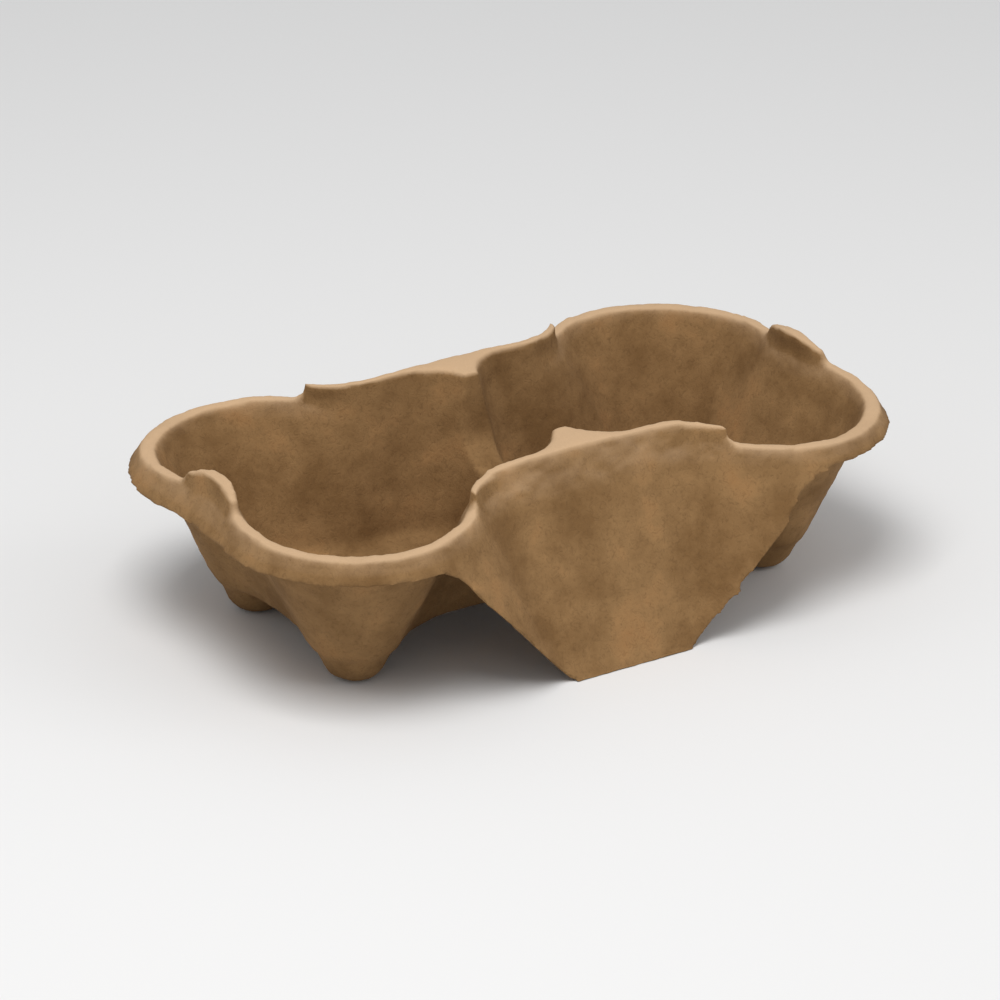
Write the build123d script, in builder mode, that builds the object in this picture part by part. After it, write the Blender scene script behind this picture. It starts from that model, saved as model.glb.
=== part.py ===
# Two-cup carrier, moulded in one piece from brown paper pulp.
#
# Millimetres, +Z up. The origin is on the surface it stands on, under the middle of the divider.
# X runs from cup to cup and Y across the carrier. The carrier is one thin shell: two cup pockets
# hang from a rounded rim, each on two hollow feet, and a skirt flares out from the same rim and
# reaches down to the table as a panel on each long side.
from build123d import *

import os
from math import cos, radians, sqrt, tan

# Rim, measured along its crest
rim_length = 203.8
rim_width = 113.6
rim_height = 52.0
rim_land = 3.0
lobe_radius = 33.3
waist_width = 69.6
waist_hollow = 25.0
end_hollow = 25.5

# Raised stretches of the rim: two long ones beside the divider, one short one at each end
side_reach = 43.0
side_rise = 4.8
side_arch = 1.8
end_reach = 13.4
end_rise = 2.5
end_arch = 3.5
step_run = 1.5
step_round = 1.2
lobe_sag = 1.8

# Skirt and its side panels
wall = 2.4
skirt_draft = 26.3
panel_draft = 24.7
collar_draft = 10.0
skirt_end_hollow = 110.0
crease_radius = 3.0
skirt_edge = 43.8
edge_fall = 1.0
panel_foot = 42.2
panel_spread = 40.8
edge_round = 15.0
corner_left = 2.0
corner_right = 7.0
lip_height = 2.6
lip_out = 0.6

# Cup pockets and the notched divider between them
pocket_floor = 12.0
pocket_draft = 13.0
floor_hollow = 40.0
floor_end_hollow = 70.0
divider_land = 3.0
divider_draft = 8.0
divider_corner = 17.0
notch_bottom = 32.0
notch_width = 34.0
notch_draft = 11.0
notch_round = 13.0

# Hollow feet under the outer lobes
foot_x = 70.0
foot_y = 26.2
foot_radius = 7.5
foot_draft = 23.5
foot_round = 5.5

# Worked out from the sizes above
lobe_centre = (rim_length / 2 - lobe_radius, rim_width / 2 - lobe_radius)
side_crown = rim_height + side_rise
end_crown = rim_height + end_rise
crown = max(side_crown + side_arch, end_crown + end_arch)
skirt_wall = wall / cos(radians(skirt_draft))
foot_flare = tan(radians(foot_draft))
far = rim_length


def hollow_start(centre, radius, waist, hollow):
    """X where the straight waist ends and its hollow begins."""
    return centre[0] - sqrt((radius + hollow) ** 2 - (waist + hollow - centre[1]) ** 2)


def end_middle(centre, radius, hollow):
    """X of the middle of the hollow end."""
    return centre[0] - hollow + sqrt((radius + hollow) ** 2 - centre[1] ** 2)


def lobe_points(centre, radius, waist, side_bend, end_bend):
    """Where the side hollow meets a lobe, the middle of the lobe, and where the end hollow does."""
    lobe = Vector(*centre)
    side_centre = Vector(hollow_start(centre, radius, waist, side_bend), waist + side_bend)
    end_centre = Vector(end_middle(centre, radius, end_bend) + end_bend, 0)
    to_side = (side_centre - lobe).normalized()
    to_end = (end_centre - lobe).normalized()
    outward = (to_side - to_end).normalized().rotate(Axis.Z, -90)
    return lobe + to_side * radius, lobe + outward * radius, lobe + to_end * radius


def lobe_flank(centre, radius, waist, side_bend, end_bend):
    """Draw a quarter outline: side hollow, lobe and half of the hollow end."""
    start_x = hollow_start(centre, radius, waist, side_bend)
    end_x = end_middle(centre, radius, end_bend)
    side_point, lobe_point, end_point = lobe_points(centre, radius, waist, side_bend, end_bend)
    RadiusArc((start_x, waist), side_point, -side_bend)
    ThreePointArc(side_point, lobe_point, end_point)
    RadiusArc(end_point, (end_x, 0), -end_bend)
    return start_x


def carrier_outline(height, centre, radius, waist, side_bend, end_bend):
    """The closed outline of the whole carrier at one height."""
    with BuildSketch(Plane.XY.offset(height)) as outline:
        with BuildLine():
            start_x = lobe_flank(centre, radius, waist, side_bend, end_bend)
            Line((0, waist), (start_x, waist))
            mirror(about=Plane.YZ)
            mirror(about=Plane.XZ)
        make_face()
    return outline.sketch


def pocket_outline(height, centre, radius, waist, side_bend, end_bend, near, corner):
    """The closed outline of the +X pocket at one height."""
    with BuildSketch(Plane.XY.offset(height)) as outline:
        with BuildLine():
            start_x = lobe_flank(centre, radius, waist, side_bend, end_bend)
            Line((near + corner, waist), (start_x, waist))
            RadiusArc((near, waist - corner), (near + corner, waist), corner)
            Line((near, 0), (near, waist - corner))
            mirror(about=Plane.XZ)
        make_face()
    return outline.sketch


def skirt_block(grow):
    """The skirt as a filled block from the table to the crown, its side moved out by grow."""
    collar = crown - rim_height
    lobe = lobe_radius + rim_land / 2 + grow
    waist = waist_width / 2 + rim_land / 2 + grow
    narrow = collar * tan(radians(collar_draft))
    with BuildPart() as block:
        loft([
            carrier_outline(0, lobe_centre, lobe + rim_height * tan(radians(skirt_draft)),
                            waist + crown * tan(radians(panel_draft)), crease_radius, skirt_end_hollow),
            carrier_outline(rim_height, lobe_centre, lobe, waist + collar * tan(radians(panel_draft)),
                            waist_hollow, skirt_end_hollow),
            carrier_outline(crown, lobe_centre, lobe - narrow, waist,
                            waist_hollow + narrow, skirt_end_hollow + narrow),
        ], ruled=True)
    return block.part


def pocket_block(grow, floor):
    """The +X pocket as a filled block from its floor to above the crown, its side moved out by grow."""
    lobe = lobe_radius - rim_land / 2 + grow
    waist = waist_width / 2 - rim_land / 2 + grow
    near = divider_land / 2 - grow
    floor_lobe = foot_radius - wall + pocket_floor * foot_flare + grow
    with BuildPart() as block:
        loft([
            pocket_outline(floor, (foot_x, foot_y), floor_lobe,
                           waist - (crown - pocket_floor) * tan(radians(pocket_draft)),
                           floor_hollow - grow, floor_end_hollow - grow,
                           near + (crown - pocket_floor) * tan(radians(divider_draft)), divider_corner),
            pocket_outline(rim_height, lobe_centre, lobe,
                           waist - (crown - rim_height) * tan(radians(pocket_draft)),
                           waist_hollow - grow, end_hollow - grow,
                           near + (crown - rim_height) * tan(radians(divider_draft)), divider_corner),
            pocket_outline(crown, lobe_centre, lobe, waist,
                           waist_hollow - grow, end_hollow - grow, near, divider_corner),
        ], ruled=True)
    return block.part


def feet_block(inset):
    """The feet under the +X pocket as filled funnels, their side and bottom moved in by inset."""
    top = pocket_floor + wall
    tip_radius = foot_radius + inset * foot_flare - inset / cos(radians(foot_draft))
    with BuildPart() as feet:
        with BuildSketch(Plane.XZ):
            with BuildLine():
                Polyline((0, inset), (tip_radius, inset),
                         (tip_radius + (top - inset) * foot_flare, top), (0, top), close=True)
            make_face()
            fillet(vertices().sort_by(Axis.Y)[:2].sort_by(Axis.X)[-1], foot_round - inset)
        revolve(axis=Axis.Z)
    with BuildPart() as pair:
        with Locations((foot_x, foot_y), (foot_x, -foot_y)):
            add(feet.part)
    return pair.part


def notch_block(grow):
    """The notch in the divider as a filled block from pocket to pocket, moved out by grow."""
    top = crown + wall
    bottom = notch_bottom - grow
    half = notch_width / 2 + grow
    opening = half + (top - bottom) * tan(radians(notch_draft))
    with BuildPart() as notch:
        with BuildSketch(Plane.YZ):
            with BuildLine():
                Polyline((-half, bottom), (half, bottom), (opening, top), (-opening, top), close=True)
            make_face()
            fillet(vertices().sort_by(Axis.Y)[:2], notch_round + grow)
        extrude(amount=divider_corner, both=True)
    return notch.part


def cup_space(grow, floor):
    """Both pockets, their feet and the notch as one block, moved out by grow."""
    with BuildPart() as space:
        add(pocket_block(grow, floor))
        add(feet_block(wall - grow))
        mirror(about=Plane.YZ)
        add(notch_block(grow))
    return space.part


def under_rim(drop):
    """Everything below the top of the rim, with its sags and raised stretches, lowered by drop."""
    lobe = Vector(*lobe_centre)
    lobe_point = lobe_points(lobe_centre, lobe_radius, waist_width / 2, waist_hollow, end_hollow)[1]
    outward = lobe_point - lobe
    sag_radius = lobe_radius ** 2 / (2 * lobe_sag)
    sag_height = rim_height - drop - lobe_sag + sag_radius
    with BuildPart() as low:
        Box(2 * far, 2 * far, rim_height - drop, align=(Align.CENTER, Align.CENTER, Align.MIN))
        for side in (-1, 1):
            for end in (-1, 1):
                with Locations(Plane((end * lobe.X, side * lobe.Y, sag_height),
                                     z_dir=(end * outward.X, side * outward.Y, 0))):
                    Cylinder(sag_radius, far, align=(Align.CENTER, Align.CENTER, Align.MIN),
                             mode=Mode.SUBTRACT)
        raised_stretch(Plane.XZ, side_reach - drop, side_crown - drop, side_arch)
        raised_stretch(Plane.YZ, end_reach - drop, end_crown - drop, end_arch)
    return low.part


def raised_stretch(plane, reach, crest, arch):
    """Add a raised stretch of the rim, drawn on plane and extruded right across the carrier."""
    with BuildPart() as raised:
        with BuildSketch(plane):
            with BuildLine():
                Polyline((-reach, crest), (-reach - step_run, 0), (reach + step_run, 0), (reach, crest))
                ThreePointArc((-reach, crest), (0, crest + arch), (reach, crest))
            make_face()
            fillet(vertices().group_by(Axis.Y)[-1], step_round)
        extrude(amount=far, both=True)
    add(raised.part)


def over_edge(rise):
    """Everything above the lower edge of the skirt, with the edge moved in by rise."""
    half_foot = panel_foot / 2
    edge_x = half_foot + panel_spread
    left_edge = skirt_edge - (far - edge_x) * tan(radians(edge_fall))
    with BuildPart() as kept:
        with BuildSketch(Plane.XZ):
            with BuildLine():
                Polyline((-far, 2 * far), (-far, left_edge), (-edge_x, skirt_edge), (-half_foot, 0),
                         (half_foot, 0), (edge_x, skirt_edge), (far, skirt_edge), (far, 2 * far), close=True)
            make_face()
            inner = vertices().sort_by_distance((0, skirt_edge / 2))[:4].sort_by(Axis.X)
            fillet([inner[0], inner[3]], edge_round)
            fillet(inner[1], corner_left)
            fillet(inner[2], corner_right)
            offset(amount=-rise, mode=Mode.REPLACE)
        extrude(amount=far, both=True)
    return kept.part


def edge_lip():
    """The lip along the lower edge of the skirt, a little proud of it."""
    with BuildPart() as lip:
        add(skirt_block(lip_out))
        add(over_edge(0), mode=Mode.INTERSECT)
        add(over_edge(lip_height), mode=Mode.SUBTRACT)
    return lip.part


def skirt_body():
    """The skirt as a filled block, cut to its lower edge."""
    with BuildPart() as body:
        add(skirt_block(0))
        add(over_edge(0), mode=Mode.INTERSECT)
    return body.part


def skirt_hollow():
    """The space inside the skirt, up to the underside of the rim."""
    with BuildPart() as space:
        add(skirt_block(-skirt_wall))
        add(under_rim(wall), mode=Mode.INTERSECT)
    return space.part


with BuildPart() as cup_carrier:
    add(skirt_body())
    add(edge_lip())
    add(skirt_hollow(), mode=Mode.SUBTRACT)
    add(cup_space(wall, pocket_floor - wall))
    add(under_rim(0), mode=Mode.INTERSECT)
    add(cup_space(0, pocket_floor), mode=Mode.SUBTRACT)

cup_carrier.part.label = "cup_carrier"
os.makedirs("parts", exist_ok=True)
export_step(cup_carrier.part, "parts/cup_carrier.step")

box = cup_carrier.part.bounding_box()
print(f"cup_carrier: {len(cup_carrier.part.solids())} solid, {box.size.X:.1f} x {box.size.Y:.1f} x {box.size.Z:.1f} mm,",
      f"{cup_carrier.part.volume / 1000:.1f} cm3")
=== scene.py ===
from math import radians

import bpy
from mathutils import Euler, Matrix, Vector


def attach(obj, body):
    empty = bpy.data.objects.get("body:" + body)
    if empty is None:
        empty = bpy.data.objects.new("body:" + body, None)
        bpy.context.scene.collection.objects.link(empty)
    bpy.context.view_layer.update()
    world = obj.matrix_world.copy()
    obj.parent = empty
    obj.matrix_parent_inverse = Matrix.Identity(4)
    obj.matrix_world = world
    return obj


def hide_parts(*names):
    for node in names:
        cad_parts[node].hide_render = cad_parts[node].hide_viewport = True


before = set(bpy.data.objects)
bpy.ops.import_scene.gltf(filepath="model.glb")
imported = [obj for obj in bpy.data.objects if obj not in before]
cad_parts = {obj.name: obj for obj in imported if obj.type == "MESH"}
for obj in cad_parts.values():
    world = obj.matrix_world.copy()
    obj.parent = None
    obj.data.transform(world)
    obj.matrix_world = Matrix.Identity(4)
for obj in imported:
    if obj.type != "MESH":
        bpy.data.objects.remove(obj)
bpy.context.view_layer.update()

mm = 0.001
rimHeight = 52 * mm


# linear colour from a hex sRGB code
def srgb(code):
    parts = [int(code[i:i + 2], 16) / 255 for i in (1, 3, 5)]
    return [c / 12.92 if c <= 0.04045 else ((c + 0.055) / 1.055) ** 2.4 for c in parts] + [1]


def addNode(tree, kind, inputs=None, **settings):
    node = tree.nodes.new(kind)
    for key, value in settings.items():
        setattr(node, key, value)
    for key, value in (inputs or {}).items():
        if isinstance(value, bpy.types.NodeSocket):
            tree.links.new(value, node.inputs[key])
        else:
            node.inputs[key].default_value = value
    return node


def applyModifier(piece, kind, **settings):
    bpy.ops.object.select_all(action="DESELECT")
    bpy.context.view_layer.objects.active = piece
    piece.select_set(True)
    modifier = piece.modifiers.new(kind.lower(), kind)
    for key, value in settings.items():
        setattr(modifier, key, value)
    bpy.ops.object.modifier_apply(modifier=modifier.name)


def cloudTexture(name, size, depth):
    texture = bpy.data.textures.new(name, "CLOUDS")
    texture.noise_scale = size
    texture.noise_depth = depth
    return texture


# mix two colours, each a socket or a hex code
def blendColour(tree, fac, first, second):
    mix = addNode(tree, "ShaderNodeMix", data_type="RGBA")
    for index, value in ((6, first), (7, second)):
        if isinstance(value, str):
            mix.inputs[index].default_value = srgb(value)
        else:
            tree.links.new(value, mix.inputs[index])
    tree.links.new(fac, mix.inputs[0])
    return mix.outputs[2]


# moulded pulp: unbleached brown paper fibre, matt, with a painted highlight on the upward-facing rim crests
pulpLook = {"dark": "#785936", "light": "#98764E", "warm": "#9A6D41", "crest": "#CFAE8A",
            "flecks": "#5D4227",
            "patch": 18 * mm, "fibre": 1.6 * mm, "fibreDepth": 0.4 * mm,
            "highlightFrom": 6 * mm, "highlightFull": 2 * mm, "roughness": 0.93, "specular": 0.2}


def pulpMaterial():
    material = bpy.data.materials.new("mouldedPulp")
    material.use_nodes = True
    tree = material.node_tree
    shader = tree.nodes["Principled BSDF"]
    place = addNode(tree, "ShaderNodeTexCoord").outputs["Object"]
    patches = addNode(tree, "ShaderNodeTexNoise",
                      {"Vector": place, "Scale": 1 / pulpLook["patch"], "Detail": 6, "Roughness": 0.6})
    fibres = addNode(tree, "ShaderNodeTexNoise",
                     {"Vector": place, "Scale": 1 / pulpLook["fibre"], "Detail": 5, "Roughness": 0.7,
                      "Distortion": 1.5})
    mottle = addNode(tree, "ShaderNodeMapRange",
                     {"Value": patches.outputs["Fac"], "From Min": 0.35, "From Max": 0.65})
    colour = blendColour(tree, mottle.outputs["Result"], pulpLook["dark"], pulpLook["light"])
    orange = addNode(tree, "ShaderNodeMapRange",
                     {"Value": patches.outputs["Fac"], "From Min": 0.55, "From Max": 0.75, "To Max": 0.5})
    colour = blendColour(tree, orange.outputs["Result"], colour, pulpLook["warm"])
    grain = addNode(tree, "ShaderNodeMapRange",
                    {"Value": fibres.outputs["Fac"], "From Min": 0.3, "From Max": 0.5,
                     "To Min": 0.45, "To Max": 0.0})
    colour = blendColour(tree, grain.outputs["Result"], colour, pulpLook["flecks"])

    # painted highlight: paler where the surface faces up along the rim, standing in for light from above
    height = addNode(tree, "ShaderNodeSeparateXYZ", {"Vector": place})
    facing = addNode(tree, "ShaderNodeSeparateXYZ",
                     {"Vector": addNode(tree, "ShaderNodeNewGeometry").outputs["Normal"]})
    high = addNode(tree, "ShaderNodeMapRange",
                   {"Value": height.outputs["Z"], "From Min": rimHeight - pulpLook["highlightFrom"],
                    "From Max": rimHeight - pulpLook["highlightFull"]})
    upward = addNode(tree, "ShaderNodeMapRange",
                     {"Value": facing.outputs["Z"], "From Min": 0.35, "From Max": 0.9, "To Max": 0.8})
    crest = addNode(tree, "ShaderNodeMath", {0: high.outputs["Result"], 1: upward.outputs["Result"]},
                    operation="MULTIPLY")
    colour = blendColour(tree, crest.outputs["Value"], colour, pulpLook["crest"])
    tree.links.new(colour, shader.inputs["Base Color"])

    shader.inputs["Roughness"].default_value = pulpLook["roughness"]
    shader.inputs["Specular IOR Level"].default_value = pulpLook["specular"]
    bump = addNode(tree, "ShaderNodeBump",
                   {"Height": fibres.outputs["Fac"], "Strength": 0.5, "Distance": pulpLook["fibreDepth"]})
    tree.links.new(bump.outputs["Normal"], shader.inputs["Normal"])
    return material


# carrier: one thin shell of pulp, its rim and edges rounded and its faces uneven
carrierShape = {"voxel": 1.25 * mm, "rounding": 5, "swell": 9 * mm, "swellDepth": 0.7 * mm,
                "lump": 2.2 * mm, "lumpDepth": 0.35 * mm,
                "inward": 0.85, "weld": 0.01 * mm}

carrier = bpy.data.objects.new("carrier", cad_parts["cup_carrier"].data.copy())
bpy.context.scene.collection.objects.link(carrier)
bpy.ops.object.select_all(action="DESELECT")
bpy.context.view_layer.objects.active = carrier
carrier.select_set(True)
bpy.ops.object.mode_set(mode="EDIT")
bpy.ops.mesh.select_all(action="SELECT")
bpy.ops.mesh.remove_doubles(threshold=carrierShape["weld"])
bpy.ops.object.mode_set(mode="OBJECT")

applyModifier(carrier, "REMESH", mode="VOXEL", voxel_size=carrierShape["voxel"])
applyModifier(carrier, "SMOOTH", factor=0.5, iterations=carrierShape["rounding"])
applyModifier(carrier, "DISPLACE", texture=cloudTexture("swell", carrierShape["swell"], 1),
              texture_coords="LOCAL", strength=carrierShape["swellDepth"], mid_level=carrierShape["inward"])
applyModifier(carrier, "DISPLACE", texture=cloudTexture("lump", carrierShape["lump"], 2),
              texture_coords="LOCAL", strength=carrierShape["lumpDepth"], mid_level=carrierShape["inward"])
for polygon in carrier.data.polygons:
    polygon.use_smooth = True
carrier.data.materials.clear()
carrier.data.materials.append(pulpMaterial())
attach(carrier, "root")
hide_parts("cup_carrier")
print("carrier:", len(carrier.data.polygons), "faces")


# studio: plain pale floor, a soft key light above the front and a gentle fill
bpy.ops.mesh.primitive_plane_add(size=8, location=(0, 0, 0))
floor = bpy.context.object
floor.name = "floor"
floorMaterial = bpy.data.materials.new("paleFloor")
floorMaterial.use_nodes = True
floorShader = floorMaterial.node_tree.nodes["Principled BSDF"]
floorShader.inputs["Base Color"].default_value = srgb("#E4E3E2")
floorShader.inputs["Roughness"].default_value = 0.9
floor.data.materials.append(floorMaterial)

world = bpy.data.worlds.new("studio")
world.use_nodes = True
sky = world.node_tree.nodes["Background"]
sky.inputs["Color"].default_value = srgb("#F2F4F6")
sky.inputs["Strength"].default_value = 0.55
bpy.context.scene.world = world


def areaLight(name, place, size, power):
    bpy.ops.object.light_add(type="AREA", location=place)
    light = bpy.context.object
    light.name = name
    light.data.size = size
    light.data.energy = power
    light.rotation_euler = (-Vector(place)).to_track_quat("-Z", "Y").to_euler()


areaLight("key", (-0.35, -0.25, 1.1), 0.6, 9)
areaLight("fill", (0.9, -0.8, 0.7), 0.8, 3)
print("studio lit")

# camera: seen from the front left and above, turned slightly about its own axis
cameraView = {"towards": (-0.5018, -0.7505, 0.4301), "distance": 1.5696, "roll": radians(0.83),
              "lens": 195.1, "sensor": 36, "shiftX": -0.0117, "shiftY": 0.083}

cameraPlace = Vector(cameraView["towards"]) * cameraView["distance"]
bpy.ops.object.camera_add(location=cameraPlace)
camera = bpy.context.object
camera.rotation_euler = (-cameraPlace).to_track_quat("-Z", "Y").to_euler()
rollTurn = Euler((0, 0, cameraView["roll"])).to_matrix()
camera.rotation_euler = (camera.rotation_euler.to_matrix() @ rollTurn).to_euler()
camera.data.lens = cameraView["lens"]
camera.data.sensor_width = cameraView["sensor"]
camera.data.shift_x = cameraView["shiftX"]
camera.data.shift_y = cameraView["shiftY"]
bpy.context.scene.camera = camera
bpy.context.scene.view_settings.view_transform = "Standard"
print("camera set")
